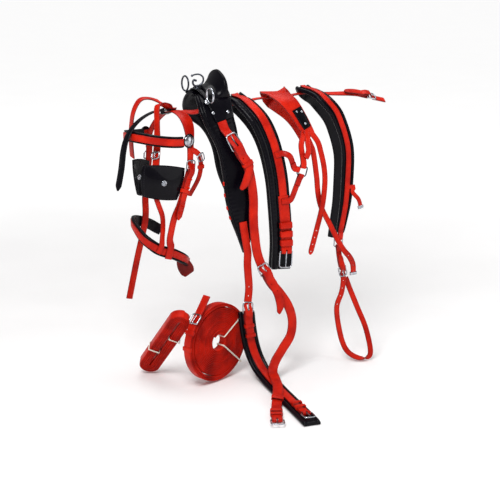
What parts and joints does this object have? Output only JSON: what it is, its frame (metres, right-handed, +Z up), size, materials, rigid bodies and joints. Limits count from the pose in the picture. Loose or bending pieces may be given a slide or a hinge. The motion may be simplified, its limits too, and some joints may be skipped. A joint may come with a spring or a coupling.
{
  "type": "driving harness",
  "caption": "Horse driving harness hung over a rail: padded saddle with terrets and girth, bridle with blinkers, padded collar and breeching, tug straps, rolled reins and traces.",
  "frame": {"origin": "top of the rail that the harness hangs over, under the gullet of the saddle", "axes": "+X along the rail from the bridle towards the breeching, +Y to the far side, +Z up"},
  "size_m": [0.8073, 0.6866, 0.8236],
  "materials": {
    "red_leather": "smooth bright scarlet leather with a soft sheen",
    "black_leather": "padded black leather, patent on the blinkers and skirt",
    "polished_steel": "polished plate"
  },
  "bodies": {
    "harness": {"back_buckle": "polished_steel", "back_strap": "red_leather", "belly_band": "red_leather", "belly_band_buckle": "polished_steel", "belly_band_end_buckle": "polished_steel", "breeching_dee": "polished_steel", "breeching_pad": "black_leather", "breeching_strip": "red_leather", "breeching_tug": "red_leather", "browband_pad": "black_leather", "browband_strip": "red_leather", "cheek_buckle": "polished_steel", "collar_pad": "black_leather", "collar_strap": "red_leather", "crownpiece": "red_leather", "crupper_strap": "red_leather", "face_drop": "black_leather", "far_backband": "red_leather", "far_blinker": "black_leather", "far_cheek": "red_leather", "far_girth_billet": "red_leather", "far_panel": "black_leather", "far_rosette": "polished_steel", "far_terret": "polished_steel", "far_trace_buckle": "polished_steel", "far_trace_strap": "red_leather", "far_tug_buckle": "polished_steel", "far_tug_strap": "red_leather", "girth_buckle": "polished_steel", "girth_end_buckle": "polished_steel", "girth_pad": "black_leather", "girth_strap": "red_leather", "hip_strap": "red_leather", "loin_loop": "red_leather", "loin_loop_buckle": "polished_steel", "near_backband": "red_leather", "near_blinker": "black_leather", "near_cheek": "red_leather", "near_girth_billet": "red_leather", "near_panel": "black_leather", "near_rosette": "polished_steel", "near_terret": "polished_steel", "near_trace_buckle": "polished_steel", "near_trace_strap": "red_leather", "near_tug_buckle": "polished_steel", "near_tug_strap": "red_leather", "neck_ring": "polished_steel", "neck_strap_lower": "red_leather", "neck_strap_upper": "red_leather", "nose_strap": "red_leather", "noseband_pad": "black_leather", "noseband_strip": "red_leather", "rein_hook": "polished_steel", "rein_roll": "red_leather", "saddle_seat": "black_leather", "saddle_skirt": "black_leather", "trace_roll": "red_leather", "winker_stay": "red_leather"},
    "near_trace_tongue": {"near_trace_tongue": "polished_steel"},
    "girth_end_tongue": {"girth_end_tongue": "polished_steel"}
  },
  "joints": [
    {"name": "near_trace_tongue_turn", "type": "hinge", "parent": "harness", "child": "near_trace_tongue", "pos_m": [0.19015, -0.13792, -0.37295], "axis": [-0.9982, 0.0013, 0.0606], "range_deg": [0, 100]},
    {"name": "girth_end_tongue_turn", "type": "hinge", "parent": "harness", "child": "girth_end_tongue", "pos_m": [0.10202, -0.50218, -0.6918], "axis": [-1, 0.0078, 0], "range_deg": [0, 100]}
  ]
}
